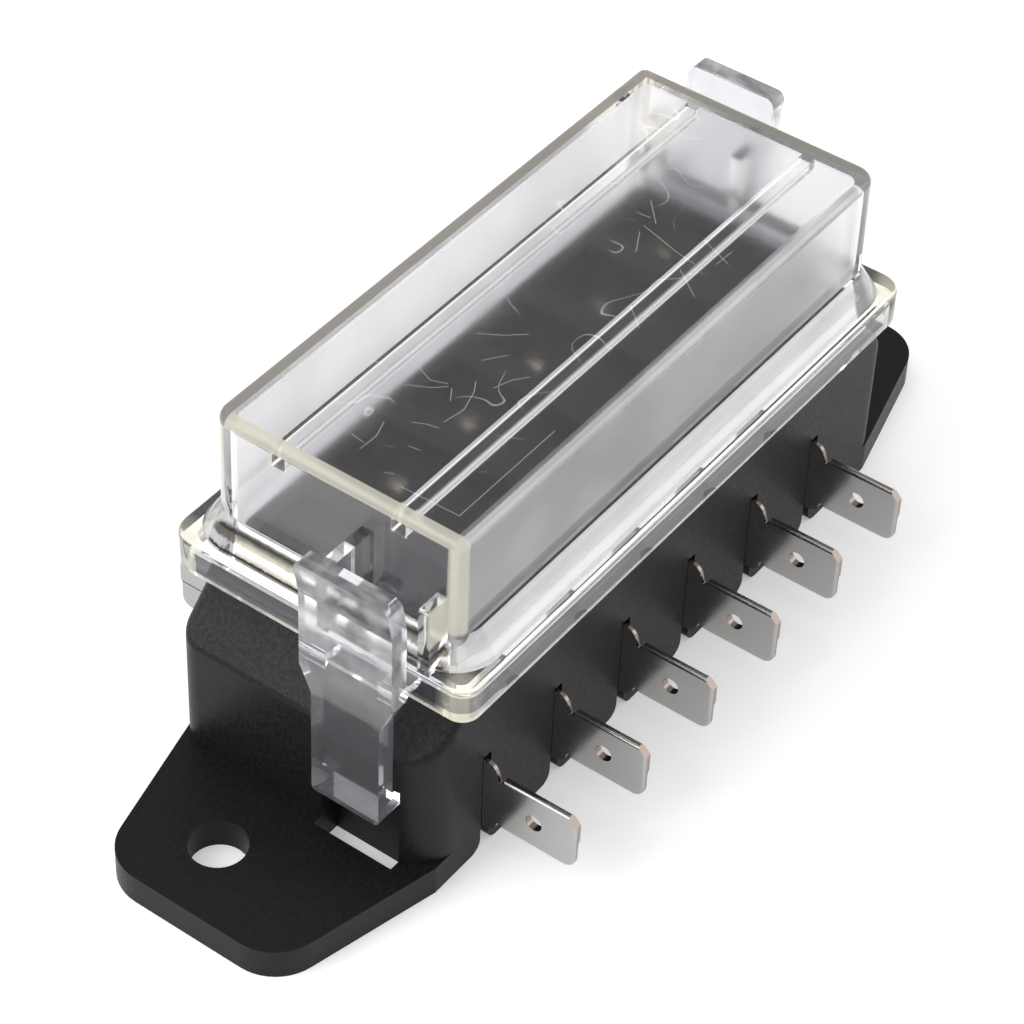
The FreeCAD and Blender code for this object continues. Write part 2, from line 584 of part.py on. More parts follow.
def make_cover():
    """The clear cover: a box on a flange and skirt, ribs under its top and fins by the clips."""
    body = new_body("cover")
    underside = S["cover_height"] - S["cover_plate"]

    skirt = new_sketch(body, "skirt_plan", "XY_Plane")
    add_rounded_rectangle(skirt, skirt_half_length, skirt_half_width, S["skirt_corner"],
                          S["skirt_other_corner"])
    body.Tip = extrude(body, "Pad", skirt, S["skirt_height"], "skirt")
    soften(body, "Fillet",
           lambda edge: all(close(point.z, S["skirt_height"].number) for point in ends(edge)),
           S["skirt_edge"], "skirt_rounds")

    shoulder = new_sketch(body, "shoulder_plan", "XY_Plane", S["skirt_height"])
    add_rounded_rectangle(shoulder, skirt_half_length - S["shoulder_step"],
                          skirt_half_width - S["shoulder_step"],
                          S["shoulder_corner"], S["shoulder_corner"])
    slope = extrude(body, "Pad", shoulder, S["shoulder_rise"], "shoulder")
    slope.setExpression("TaperAngle", (-S["shoulder_slope"]).formula)

    box = new_sketch(body, "box_plan", "XY_Plane")
    add_rounded_rectangle(box, cover_half_length, cover_half_width, S["cover_corner"],
                          S["cover_other_corner"])
    walls = extrude(body, "Pad", box, S["cover_height"], "box")
    walls.setExpression("TaperAngle", (-S["cover_draft"]).formula)
    body.Tip = walls

    soften(body, "Fillet",
           lambda edge: all(close(point.z, S["cover_height"].number) for point in ends(edge)),
           S["cover_edge"], "top_edge")

    inside = new_sketch(body, "inside_plan", "XY_Plane")
    add_rounded_rectangle(inside, inner_half_length, inner_half_width, S["cover_corner"] / 2,
                          S["cover_other_corner"] / 2)
    extrude(body, "Pocket", inside, underside, "inside", reverse=True)
    under_flange = new_sketch(body, "under_flange_plan", "XY_Plane")
    add_rounded_rectangle(under_flange, skirt_half_length - S["skirt_wall"],
                          skirt_half_width - S["skirt_wall"], S["skirt_corner"] / 2,
                          S["skirt_other_corner"] / 2)
    extrude(body, "Pocket", under_flange, S["skirt_height"] - S["flange_thickness"],
            "under_flange", reverse=True)

    ribs = new_sketch(body, "rib_plan", "XY_Plane", underside - S["rib_depth"])
    for sign in (-1, 1):
        low = S["rib_place"] * sign - S["rib_width"] / 2
        add_outline(ribs, rectangle(-cover_half_length + S["cover_wall"] / 2,
                                    cover_half_length - S["cover_wall"] / 2,
                                    low, low + S["rib_width"]))
    extrude(body, "Pad", ribs, S["rib_depth"] + S["cover_plate"] / 2, "ribs")

    # Two fins flank each clip and stop its head when it is squeezed too far
    fin_front = skirt_half_length - S["fin_setback"]
    head_half = S["clip_head_width"] / 2
    fin_pads = []
    for side, word in ((-1, "outer"), (1, "inner")):
        middle = -S["clip_place"] + (head_half * side)
        fin = new_sketch(body, word + "_fin_side", "XZ_Plane", -middle)
        add_outline(fin, rectangle(-fin_front, -cover_half_length + S["cover_wall"] / 2,
                                   S["skirt_height"] - S["flange_thickness"] / 2, S["fin_height"]))
        fin_pads.append(extrude(body, "Pad", fin, S["fin_thickness"], word + "_fin", both_ways=True))
        body.Tip = fin_pads[-1]
    half_turn(body, fin_pads, "far_fins")
    soften(body, "Fillet",
           lambda edge: runs_along(edge, 1) and close(abs(ends(edge)[0].x), fin_front.number)
           and close(ends(edge)[0].z, S["fin_height"].number),
           S["fin_round"], "fin_rounds")
    place(body, ZERO, ZERO, cover_foot)
    return body


def make_clip(name, rear):
    """One clip, about its own pivot: a leaning head, a leg with a hook and two webs to rock on."""
    body = new_body(name)
    back = -S["clip_web_length"]
    front = back - S["clip_sheet"]
    foot = -S["clip_leg_drop"]
    web_half = S["clip_web"] / 2
    through = S["clip_head_width"] * 2

    side = new_sketch(body, "clip_side", "XZ_Plane")
    add_outline(side, [
        (front, foot),
        (back + S["hook_reach"], foot),
        (back + S["hook_reach"], foot + S["hook_height"]),
        (back, foot + S["hook_height"]),
        (back, web_half),
        (back, S["clip_head_bend"]),
        (back - S["clip_head_lean"], S["clip_head_rise"]),
        (front - S["clip_head_lean"], S["clip_head_rise"]),
        (front, S["clip_head_bend"]),
    ])
    extrude(body, "Pad", side, S["clip_head_width"], "plate_and_hook", both_ways=True)

    web = new_sketch(body, "web_side", "XZ_Plane")
    add_outline(web, rectangle(back - S["clip_sheet"] / 2, ZERO, -web_half, web_half))
    extrude(body, "Pad", web, S["clip_head_width"], "web", both_ways=True)
    nose = new_sketch(body, "web_end_side", "XZ_Plane")
    circle = Part.Circle(FreeCAD.Vector(0, 0, 0), FreeCAD.Vector(0, 0, 1), web_half.number)
    nose.addGeometry(circle, False)
    nose.addConstraint(Sketcher.Constraint("Coincident", 0, 3, -1, 1))
    hold(nose, "Radius", (0,), web_half)
    body.Tip = extrude(body, "Pad", nose, S["clip_head_width"], "web_end", both_ways=True)

    soften(body, "Fillet",
           lambda edge: runs_along(edge, 1) and close(ends(edge)[0].x, back.number)
           and close(abs(ends(edge)[0].z), web_half.number),
           S["clip_web_round"], "web_rounds")

    window = new_sketch(body, "window_plan", "XY_Plane")
    add_outline(window, rectangle(back, web_half + 1, -S["clip_window"] / 2, S["clip_window"] / 2))
    extrude(body, "Pocket", window, through, "window", both_ways=True)

    flanks = new_sketch(body, "flank_face", "YZ_Plane")
    half_head = S["clip_head_width"] / 2
    half_leg = S["clip_leg_width"] / 2
    for sign in (-1, 1):
        add_outline(flanks, [
            (half_leg * sign, foot - 1),
            ((half_head + 1) * sign, foot - 1),
            ((half_head + 1) * sign, -S["clip_taper_top"]),
            (half_head * sign, -S["clip_taper_top"]),
            (half_leg * sign, -S["clip_taper_foot"]),
        ])
    body.Tip = extrude(body, "Pocket", flanks, through, "flanks", both_ways=True)

    soften(body, "Fillet",
           lambda edge: runs_along(edge, 0) and close(ends(edge)[0].z, S["clip_head_rise"].number),
           S["clip_head_round"], "head_rounds")
    soften(body, "Fillet",
           lambda edge: runs_along(edge, 0) and close(ends(edge)[0].z, foot.number),
           S["clip_foot_round"], "foot_rounds")

    if rear:
        place(body, pivot_x, S["clip_place"], pivot_height, True)
    else:
        place(body, -pivot_x, -S["clip_place"], pivot_height)
    return body


pieces = [make_base(), make_cover(), make_clip("front_clip", False), make_clip("rear_clip", True)]
for way in range(S["way_count"].number):
    pieces.append(make_terminal("near_terminal_%d" % (way + 1), way, False))
    pieces.append(make_terminal("far_terminal_%d" % (way + 1), way, True))
document.recompute()

# Nothing is written unless every feature worked and every cut took something away

for item in document.Objects:
    if "Invalid" in item.State or "Error" in item.State:
        raise RuntimeError("%s failed: %s" % (item.Name, item.State))
    if item.TypeId == "PartDesign::Pocket" and item.BaseFeature is not None:
        if item.Shape.Volume >= item.BaseFeature.Shape.Volume:
            raise RuntimeError("%s cuts nothing" % item.Name)
for piece in pieces:
    if piece.Shape.isNull() or not piece.Shape.isValid() or len(piece.Shape.Solids) != 1:
        raise RuntimeError("%s is not one valid solid" % piece.Label)

os.makedirs("parts", exist_ok=True)
for piece in pieces:
    piece.Shape.exportStep("parts/%s.step" % piece.Label)
    box = piece.Shape.BoundBox
    print("%s volume %.1f, x %.2f to %.2f, y %.2f to %.2f, z %.2f to %.2f" % (
        piece.Label, piece.Shape.Volume, box.XMin, box.XMax, box.YMin, box.YMax, box.ZMin, box.ZMax))
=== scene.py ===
import math
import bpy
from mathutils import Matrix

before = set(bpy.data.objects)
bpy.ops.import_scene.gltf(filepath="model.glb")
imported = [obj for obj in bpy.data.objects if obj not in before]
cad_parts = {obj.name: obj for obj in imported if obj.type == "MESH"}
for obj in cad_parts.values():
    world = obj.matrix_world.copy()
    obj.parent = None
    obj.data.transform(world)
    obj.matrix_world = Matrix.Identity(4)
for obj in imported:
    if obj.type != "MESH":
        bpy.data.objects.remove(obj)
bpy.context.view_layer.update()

from types import SimpleNamespace

import bpy
from mathutils import Matrix, Vector

# Base housing
# The block with its two ears is one moulding in black nylon. The mould gives it a fine grain,
# which shows best on its sloped ends; those ends are also painted paler, a painted sheen for the
# light they catch.

MM = 0.001


def new_material(name):
    """A material with nodes, given with its tree and its Principled shader."""
    material = bpy.data.materials.new(name)
    material.use_nodes = True
    tree = material.node_tree
    return material, tree, tree.nodes["Principled BSDF"]


def add_node(tree, kind, **settings):
    """One node of the tree with its own settings and the given socket values."""
    node = tree.nodes.new(kind)
    for key, value in settings.items():
        if key in node.inputs:
            node.inputs[key].default_value = value
        else:
            setattr(node, key, value)
    return node


def link(tree, start, end):
    tree.links.new(start, end)


def feed(tree, value, socket):
    """Gives a socket its value, which is another socket or a plain one."""
    if hasattr(value, "links"):
        link(tree, value, socket)
    else:
        socket.default_value = value


def ramp(tree, factor, stops):
    """A colour ramp with the given places and colours."""
    node = tree.nodes.new("ShaderNodeValToRGB")
    link(tree, factor, node.inputs[0])
    elements = node.color_ramp.elements
    elements[0].position, elements[0].color = stops[0]
    elements[1].position, elements[1].color = stops[-1]
    for place, colour in stops[1:-1]:
        elements.new(place).color = colour
    return node.outputs["Color"]


def grey(value):
    return (value, value, value, 1)


def noise(tree, place, scale, detail=1.0):
    node = add_node(tree, "ShaderNodeTexNoise", Scale=scale, Detail=detail)
    link(tree, place, node.inputs["Vector"])
    return node.outputs["Fac"]


def mix(tree, kind, factor, first, second):
    """A mix of two colours or numbers; each of them is a socket or a plain value."""
    first_index, second_index, result = {"RGBA": (6, 7, 2), "FLOAT": (2, 3, 0)}[kind]
    node = add_node(tree, "ShaderNodeMix", data_type=kind)
    link(tree, factor, node.inputs[0])
    feed(tree, first, node.inputs[first_index])
    feed(tree, second, node.inputs[second_index])
    return node.outputs[result]


def make_grain_group():
    """Moulding grain: fine noise and coarser noise added up, as a height and a light mask."""
    group = bpy.data.node_groups.new("moulding grain", "ShaderNodeTree")
    group.interface.new_socket("Vector", in_out="INPUT", socket_type="NodeSocketVector")
    for name in ("Fine Scale", "Coarse Scale"):
        group.interface.new_socket(name, in_out="INPUT", socket_type="NodeSocketFloat")
    for name in ("Height", "Mask"):
        group.interface.new_socket(name, in_out="OUTPUT", socket_type="NodeSocketFloat")
    inside = group.nodes.new("NodeGroupInput")
    outside = group.nodes.new("NodeGroupOutput")
    small = add_node(group, "ShaderNodeTexNoise", Detail=1.0, Roughness=0.6)
    large = add_node(group, "ShaderNodeTexNoise", Detail=1.0, Roughness=0.6)
    total = add_node(group, "ShaderNodeMath", operation="ADD")
    for texture, scale in ((small, "Fine Scale"), (large, "Coarse Scale")):
        link(group, inside.outputs["Vector"], texture.inputs["Vector"])
        link(group, inside.outputs[scale], texture.inputs["Scale"])
    link(group, small.outputs["Fac"], total.inputs[0])
    link(group, large.outputs["Fac"], total.inputs[1])
    link(group, total.outputs[0], outside.inputs["Height"])
    link(group, large.outputs["Fac"], outside.inputs["Mask"])
    return group


grain = make_grain_group()


def place_group(tree, group, **values):
    """A node for the group, with the given socket values; _ in a name stands for a space."""
    node = tree.nodes.new("ShaderNodeGroup")
    node.node_tree = group
    for key, value in values.items():
        node.inputs[key.replace("_", " ")].default_value = value
    return node


def black_moulding():
    """Black nylon, darker and smoother on its level and upright faces; the paler slopes are a
    painted sheen.
    """
    material, tree, shader = new_material("black nylon")
    place = tree.nodes.new("ShaderNodeTexCoord").outputs["Object"]
    grained = place_group(tree, grain, Fine_Scale=7000.0, Coarse_Scale=2400.0)
    link(tree, place, grained.inputs["Vector"])
    mask = grained.outputs["Mask"]
    gloss = ramp(tree, mask, [(0.3, grey(0.36)), (0.7, grey(0.48))])
    link(tree, gloss, shader.inputs["Roughness"])
    apart = tree.nodes.new("ShaderNodeSeparateXYZ")
    geometry = tree.nodes.new("ShaderNodeNewGeometry")
    link(tree, geometry.outputs["True Normal"], apart.inputs[0])
    # The sloped faces, found by their true normal, get a paler colour as a painted sheen, and the
    # grain's bump.
    sloped = ramp(tree, apart.outputs["Z"], [(0.40, grey(0.14)), (0.62, grey(1.0)),
                                             (0.80, grey(1.0)), (0.95, grey(0.14))])
    black = ramp(tree, mask, [(0.3, (0.0056, 0.0050, 0.0060, 1)),
                              (0.7, (0.0088, 0.0079, 0.0092, 1))])
    painted_slope_sheen = ramp(tree, mask, [(0.3, (0.0200, 0.0190, 0.0205, 1)),
                              (0.7, (0.0400, 0.0385, 0.0410, 1))])
    link(tree, mix(tree, "RGBA", sloped, black, painted_slope_sheen), shader.inputs["Base Color"])
    shader.inputs["Specular IOR Level"].default_value = 0.16
    bump = add_node(tree, "ShaderNodeBump", Distance=0.08 * MM)
    link(tree, sloped, bump.inputs["Strength"])
    link(tree, grained.outputs["Height"], bump.inputs["Height"])
    link(tree, bump.outputs["Normal"], shader.inputs["Normal"])
    return material


def dress(name, material):
    """Gives every slot of a frame piece the material."""
    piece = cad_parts[name]
    if not piece.material_slots:
        piece.data.materials.append(material)
    for slot in piece.material_slots:
        slot.material = material


dress("base_housing", black_moulding())

# Terminals
# Twelve terminals, six along each side, stamped and folded from 0.4 mm tin-plated brass. The
# tin is satin, and the sheared edges show the warmer metal. They are pushed in from below.


def frame_place(tree):
    """The place in the part's frame as a vector, and its parts: x, y, z, unsigned x and y."""
    place = tree.nodes.new("ShaderNodeTexCoord").outputs["Object"]
    signed = tree.nodes.new("ShaderNodeSeparateXYZ")
    folded = add_node(tree, "ShaderNodeVectorMath", operation="ABSOLUTE")
    unsigned = tree.nodes.new("ShaderNodeSeparateXYZ")
    link(tree, place, signed.inputs[0])
    link(tree, place, folded.inputs[0])
    link(tree, folded.outputs[0], unsigned.inputs[0])
    return place, SimpleNamespace(
        x=signed.outputs["X"], y=signed.outputs["Y"], z=signed.outputs["Z"],
        unsigned_x=unsigned.outputs["X"], unsigned_y=unsigned.outputs["Y"])


def tinned_brass():
    """Satin tin on the sheet's faces, warm metal on its edges, and a jaw painted pale as a
    painted highlight of the light from above.
    """
    material, tree, shader = new_material("tinned brass")
    place, at = frame_place(tree)
    geometry = tree.nodes.new("ShaderNodeNewGeometry")
    apart = tree.nodes.new("ShaderNodeSeparateXYZ")
    link(tree, geometry.outputs["True Normal"], apart.inputs[0])
    flat = add_node(tree, "ShaderNodeMath", operation="ABSOLUTE")
    link(tree, apart.outputs["X"], flat.inputs[0])
    sheet = ramp(tree, flat.outputs[0], [(0.04, (0.27, 0.225, 0.20, 1)),
                                         (0.18, (0.42, 0.415, 0.41, 1))])
    # The jaws inside the block get a pale colour: a painted highlight where they catch light from
    # above.
    jaw_end, root_start = 10.0 * MM, 10.5 * MM
    painted_jaw_highlight = ramp(tree, at.unsigned_y, [(jaw_end, grey(1.0)), (root_start, grey(0.0))])
    colour = mix(tree, "RGBA", painted_jaw_highlight, sheet, (0.90, 0.86, 0.76, 1))
    link(tree, colour, shader.inputs["Base Color"])
    gloss = ramp(tree, noise(tree, place, 260.0, 4.0), [(0.3, grey(0.15)), (0.7, grey(0.24))])
    link(tree, gloss, shader.inputs["Roughness"])
    shader.inputs["Metallic"].default_value = 1.0
    bump = add_node(tree, "ShaderNodeBump", Strength=0.10, Distance=0.01 * MM)
    link(tree, noise(tree, place, 2600.0, 3.0), bump.inputs["Height"])
    link(tree, bump.outputs["Normal"], shader.inputs["Normal"])
    return material


tin = tinned_brass()
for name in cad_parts:
    if "terminal" in name:
        dress(name, tin)

# Cover
# A clear polycarbonate box with a flange and skirt, a little frosted inside. Zones of tint and a
# weak painted glow stand for what its edges, walls and shoulder pick up from the light around it,
# as painted light, shade and reflections, and fine hair scratches mark its top.


def cover_faces():
    """Where the cover's faces lie, in millimetres: worked out from its box in the frame."""
    corners = [Vector(corner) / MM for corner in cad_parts["cover"].bound_box]
    skirt_x, skirt_y, crown = (max(corner[axis] for corner in corners) for axis in range(3))
    foot = min(corner.z for corner in corners)
    wall, plate, skirt_height, shoulder_rise = 1.55, 1.7, 3.5, 2.8
    flange_reach, flange_side_reach = 2.69, 2.93
    rib_place, rib_width, rib_depth = 6.5, 1.4, 1.3
    return SimpleNamespace(
        skirt_x=skirt_x, skirt_y=skirt_y, foot=foot, crown=crown, ceiling=crown - plate,
        outer_x=skirt_x - flange_reach, outer_y=skirt_y - flange_side_reach,
        inner_x=skirt_x - flange_reach - wall, inner_y=skirt_y - flange_side_reach - wall,
        flange_top=foot + skirt_height, shoulder_top=foot + skirt_height + shoulder_rise,
        rib_near=rib_place - rib_width / 2, rib_far=rib_place + rib_width / 2,
        rib_foot=crown - plate - rib_depth)


def make_box_group():
    """Depth inside a box of the given half size about the frame's origin, in metres."""
    group = bpy.data.node_groups.new("inside a box", "ShaderNodeTree")
    for name in ("Vector", "Half Size"):
        group.interface.new_socket(name, in_out="INPUT", socket_type="NodeSocketVector")
    group.interface.new_socket("Depth", in_out="OUTPUT", socket_type="NodeSocketFloat")
    inside = group.nodes.new("NodeGroupInput")
    outside = group.nodes.new("NodeGroupOutput")
    folded = add_node(group, "ShaderNodeVectorMath", operation="ABSOLUTE")
    margin = add_node(group, "ShaderNodeVectorMath", operation="SUBTRACT")
    apart = group.nodes.new("ShaderNodeSeparateXYZ")
    least = add_node(group, "ShaderNodeMath", operation="MINIMUM")
    lowest = add_node(group, "ShaderNodeMath", operation="MINIMUM")
    link(group, inside.outputs["Vector"], folded.inputs[0])
    link(group, inside.outputs["Half Size"], margin.inputs[0])
    link(group, folded.outputs[0], margin.inputs[1])
    link(group, margin.outputs[0], apart.inputs[0])
    link(group, apart.outputs["X"], least.inputs[0])
    link(group, apart.outputs["Y"], least.inputs[1])
    link(group, least.outputs[0], lowest.inputs[0])
    link(group, apart.outputs["Z"], lowest.inputs[1])
    link(group, lowest.outputs[0], outside.inputs["Depth"])
    return group


def make_scratch_group():
    """Distance from a hair line, by the nearest point on it.

    The place's share along the Run from Start, held between 0 and 1, gives that point. Share
    is the Run over its squared length, and Shift puts 0 at Start.
    """
    group = bpy.data.node_groups.new("hair scratch", "ShaderNodeTree")
    for name in ("Vector", "Start", "Run", "Share"):
        group.interface.new_socket(name, in_out="INPUT", socket_type="NodeSocketVector")
    group.interface.new_socket("Shift", in_out="INPUT", socket_type="NodeSocketFloat")
    group.interface.new_socket("Distance", in_out="OUTPUT", socket_type="NodeSocketFloat")
    inside = group.nodes.new("NodeGroupInput")
    outside = group.nodes.new("NodeGroupOutput")
    along = add_node(group, "ShaderNodeVectorMath", operation="DOT_PRODUCT")
    held = add_node(group, "ShaderNodeMath", operation="SUBTRACT", use_clamp=True)
    nearest = add_node(group, "ShaderNodeVectorMath", operation="MULTIPLY_ADD")
    apart = add_node(group, "ShaderNodeVectorMath", operation="DISTANCE")
    link(group, inside.outputs["Vector"], along.inputs[0])
    link(group, inside.outputs["Share"], along.inputs[1])
    link(group, along.outputs["Value"], held.inputs[0])
    link(group, inside.outputs["Shift"], held.inputs[1])
    link(group, held.outputs[0], nearest.inputs[0])
    link(group, inside.outputs["Run"], nearest.inputs[1])
    link(group, inside.outputs["Start"], nearest.inputs[2])
    link(group, inside.outputs["Vector"], apart.inputs[0])
    link(group, nearest.outputs[0], apart.inputs[1])
    link(group, apart.outputs["Value"], outside.inputs["Distance"])
    return group


inside_box = make_box_group()
hair_scratch = make_scratch_group()


def step(tree, value, low, high):
    """0 at the first number, 1 at the second and a straight run between them."""
    node = add_node(tree, "ShaderNodeMapRange")
    link(tree, value, node.inputs["Value"])
    node.inputs["From Min"].default_value = low
    node.inputs["From Max"].default_value = high
    return node.outputs["Result"]


def combine(tree, operation, *values):
    """The sockets or numbers taken together by one operation, such as MULTIPLY or MAXIMUM."""
    total = values[0]
    for value in values[1:]:
        node = add_node(tree, "ShaderNodeMath", operation=operation)
        feed(tree, total, node.inputs[0])
        feed(tree, value, node.inputs[1])
        total = node.outputs[0]
    return total


def both(tree, *masks):
    """Where all the masks hold; a plain number among them weakens the result."""
    return combine(tree, "MULTIPLY", *masks)


def either(tree, *masks):
    """Where at least one of the masks holds."""
    return combine(tree, "MAXIMUM", *masks)


def beyond(tree, value, edge, soft):
    """A mask from the edge on, full after a soft run; both in millimetres, minus runs down."""
    return step(tree, value, edge * MM, (edge + soft) * MM)


def between(tree, value, low, high):
    """A mask from low to high in millimetres, with soft ends."""
    soft = 0.06
    return both(tree, beyond(tree, value, low - soft, 2 * soft),
                beyond(tree, value, high + soft, -2 * soft))


def hollow_mask(tree, place, face):
    """The faces inside the cover's box, and the ribs."""
    margin = 0.15
    half_size = Vector((face.inner_x + margin, face.inner_y + margin, face.ceiling + margin))
    box = place_group(tree, inside_box, Half_Size=half_size * MM)
    link(tree, place, box.inputs["Vector"])
    return step(tree, box.outputs["Depth"], -0.01 * MM, 0.01 * MM)


def wall_masks(tree, at, face, hollow):
    """The inner faces of the side walls, of the rear wall and of the front wall."""
    side = both(tree, hollow, beyond(tree, at.unsigned_y, face.inner_y - 0.40, 0.15))
    rear = both(tree, hollow, beyond(tree, at.x, face.inner_x - 0.40, 0.20))
    front = both(tree, hollow, beyond(tree, at.x, -face.inner_x + 0.40, -0.20))
    return side, rear, front


def beige_edge_glow_mask(tree, at, face, hollow, top):
    """The beige places, given a nearly opaque beige tint and a painted glow: the top's front
    land, the upright corners and the ribs' front ends.
    """
    front_land = both(tree, top, beyond(tree, at.x, -face.inner_x - 0.15, -0.10))
    corners = both(tree, beyond(tree, at.unsigned_x, face.inner_x + 0.10, 0.40),
                   beyond(tree, at.unsigned_y, face.inner_y - 0.10, 0.20),
                   beyond(tree, at.z, face.shoulder_top + 0.23, 0.40), 0.85)
    rib_end = both(tree, hollow, beyond(tree, at.x, -face.inner_x + 0.90, -0.30),
                   between(tree, at.unsigned_y, face.rib_near - 0.15, face.rib_far + 0.15),
                   between(tree, at.z, face.rib_foot - 0.10, face.ceiling + 0.10))
    return either(tree, front_land, rib_end, corners)


def far_rim_mask(tree, at, face, top):
    """The rim of the top, along its rear and its far side, which gets a dark tint and a
    grey-brown painted glow.
    """
    rear_rim = beyond(tree, at.x, face.inner_x - 0.25, 0.10)
    side_rim = beyond(tree, at.y, face.inner_y - 0.20, 0.10)
    return both(tree, top, either(tree, rear_rim, side_rim))


def rib_masks(tree, at, face, hollow):
    """The two ribs under the top, and the lower edges of both, which carry a painted glint."""
    rib = both(tree, hollow,
               between(tree, at.unsigned_y, face.rib_near - 0.10, face.rib_far + 0.10),
               between(tree, at.z, face.rib_foot - 0.10, face.ceiling - 0.10))
    low = between(tree, at.z, face.rib_foot - 0.05, face.rib_foot + 0.25)
    edges = either(tree, between(tree, at.unsigned_y, face.rib_near - 0.14, face.rib_near + 0.12),
                   between(tree, at.unsigned_y, face.rib_far - 0.12, face.rib_far + 0.14))
    return rib, both(tree, hollow, low, edges)


def shoulder_masks(tree, at, face):
    """The sloped shoulder at the ends, along the sides and at its corners."""
    slope = between(tree, at.z, face.flange_top + 0.13, face.shoulder_top - 0.07)
    end = both(tree, slope, beyond(tree, at.unsigned_x, face.outer_x + 0.10, 0.25))
    side = both(tree, slope, beyond(tree, at.unsigned_y, face.outer_y + 0.30, 0.20))
    corner = both(tree, slope, beyond(tree, at.unsigned_x, face.outer_x - 0.85, 0.40),
                  beyond(tree, at.unsigned_y, face.outer_y - 0.90, 0.40))
    return end, side, corner


def flange_masks(tree, at, face):
    """The cover's corners from the shoulder down, and the skirt at the ends and sides."""
    corner = both(tree, beyond(tree, at.unsigned_x, face.outer_x - 0.65, 1.00),
                  beyond(tree, at.unsigned_y, face.outer_y - 0.50, 1.00),
                  beyond(tree, at.z, face.shoulder_top + 0.23, -0.20))
    end = both(tree, beyond(tree, at.unsigned_x, face.skirt_x - 0.54, 0.20),
               between(tree, at.z, face.foot + 0.43, face.flange_top - 0.77))
    side = both(tree, beyond(tree, at.unsigned_y, face.skirt_y - 0.43, 0.20),
                between(tree, at.z, face.foot + 0.43, face.flange_top - 0.57))
    return corner, end, side


def painted_shoulder_reflections(tree, at, face, fine):
    """Tints up the shoulder as painted reflections: clear, with two ragged dark lines and a brown
    one between them.
    """
    ragged = combine(tree, "ADD", at.z, combine(tree, "MULTIPLY", fine, 0.30 * MM))
    height = beyond(tree, ragged, face.flange_top + 0.03, 3.00)
    return ramp(tree, height, [
        (0.04, (0.9, 0.9, 0.88, 1)), (0.09, grey(0.0008)), (0.15, grey(0.0012)),
        (0.20, grey(0.9)), (0.36, grey(0.95)), (0.44, (0.060, 0.052, 0.038, 1)),
        (0.60, (0.040, 0.034, 0.024, 1)), (0.66, grey(0.0010)), (0.72, grey(0.0012)),
        (0.78, (0.10, 0.10, 0.09, 1)), (0.90, grey(0.9)), (0.98, grey(0.7))])


# The points of each scratch on the cover's top: x and y in millimetres.
COVER_SCRATCHES = [
    [(-16.6, 3.3), (-17.4, 1.3), (-16.8, -0.2)],
    [(-19.2, 2.6), (-18.1, 0.6), (-17.1, -0.4)],
    [(-9.9, 2.0), (-8.6, -0.1), (-7.1, -1.7)],
    [(-12.5, -0.6), (-10.5, -2.0)],
    [(-14.8, -3.6), (-13.0, -4.2), (-11.7, -5.2)],
    [(-21.0, -2.9), (-18.7, -3.3), (-16.3, -2.6), (-15.1, -1.9)],
    [(-22.7, -0.8), (-22.1, -2.0), (-21.9, -3.0)],
    [(-28.1, 0.6), (-26.0, 0.5), (-24.2, 1.1)],
    [(-27.1, 2.3), (-27.3, 0.9)],
    [(-29.2, -2.8), (-28.8, -3.6)],
    [(-17.1, -0.8), (-18.5, -1.7)],
    [(-25.3, -2.4), (-25.1, -3.5)],
    [(11.9, -0.9), (10.6, -5.4), (10.2, -7.6)],
    [(13.1, 0.8), (13.2, -0.7)],
    [(15.4, 0.8), (12.8, -1.6)],
    [(10.9, -1.1), (8.3, -2.5)],
    [(13.6, -6.4), (12.1, -10.0)],
    [(11.4, -9.2), (13.8, -9.3)],
    [(8.7, -7.1), (6.4, -10.2)],
    [(1.7, -6.5), (-0.3, -8.9)],
    [(-29.7, -5.0), (-29.5, -11.0), (-16.0, -11.0)],
]


def scratch_mask(tree, place, face):
    """1 on the middle of each listed scratch, falling off to its sides."""
    half_breadth = 0.04
    away = 1.0
    for points in COVER_SCRATCHES:
        spots = [Vector((x, y, face.crown)) * MM for x, y in points]
        for start, end in zip(spots, spots[1:]):
            run = end - start
            share = run / run.length_squared
            line = place_group(tree, hair_scratch, Start=start, Run=run, Share=share,
                               Shift=share.dot(start))
            link(tree, place, line.inputs["Vector"])
            away = combine(tree, "MINIMUM", away, line.outputs["Distance"])
    return step(tree, away, half_breadth * MM, 0.0)


def curl_mask(tree, place, at, top, clouds):
    """Faint curls on the middle of the top, where a coarse noise passes its middle value."""
    curls = noise(tree, place, 150.0)
    curls = both(tree, step(tree, curls, 0.494, 0.500), step(tree, curls, 0.506, 0.500))
    middle = beyond(tree, at.unsigned_y, 10.0, -1.5)
    return both(tree, curls, step(tree, clouds, 0.55, 0.75), top, middle, 0.5)


def cover_roughness(tree, clouds, hollow, rims, walls):
    """Nearly smooth outside, frosted inside in clouds, and rougher on rims and inner walls."""
    outer = mix(tree, "FLOAT", clouds, 0.02, 0.05)
    frost = mix(tree, "FLOAT", clouds, 0.13, 0.18)
    rough = mix(tree, "FLOAT", hollow, outer, frost)
    rough = mix(tree, "FLOAT", rims, rough, 0.28)
    return mix(tree, "FLOAT", walls, rough, 0.38)


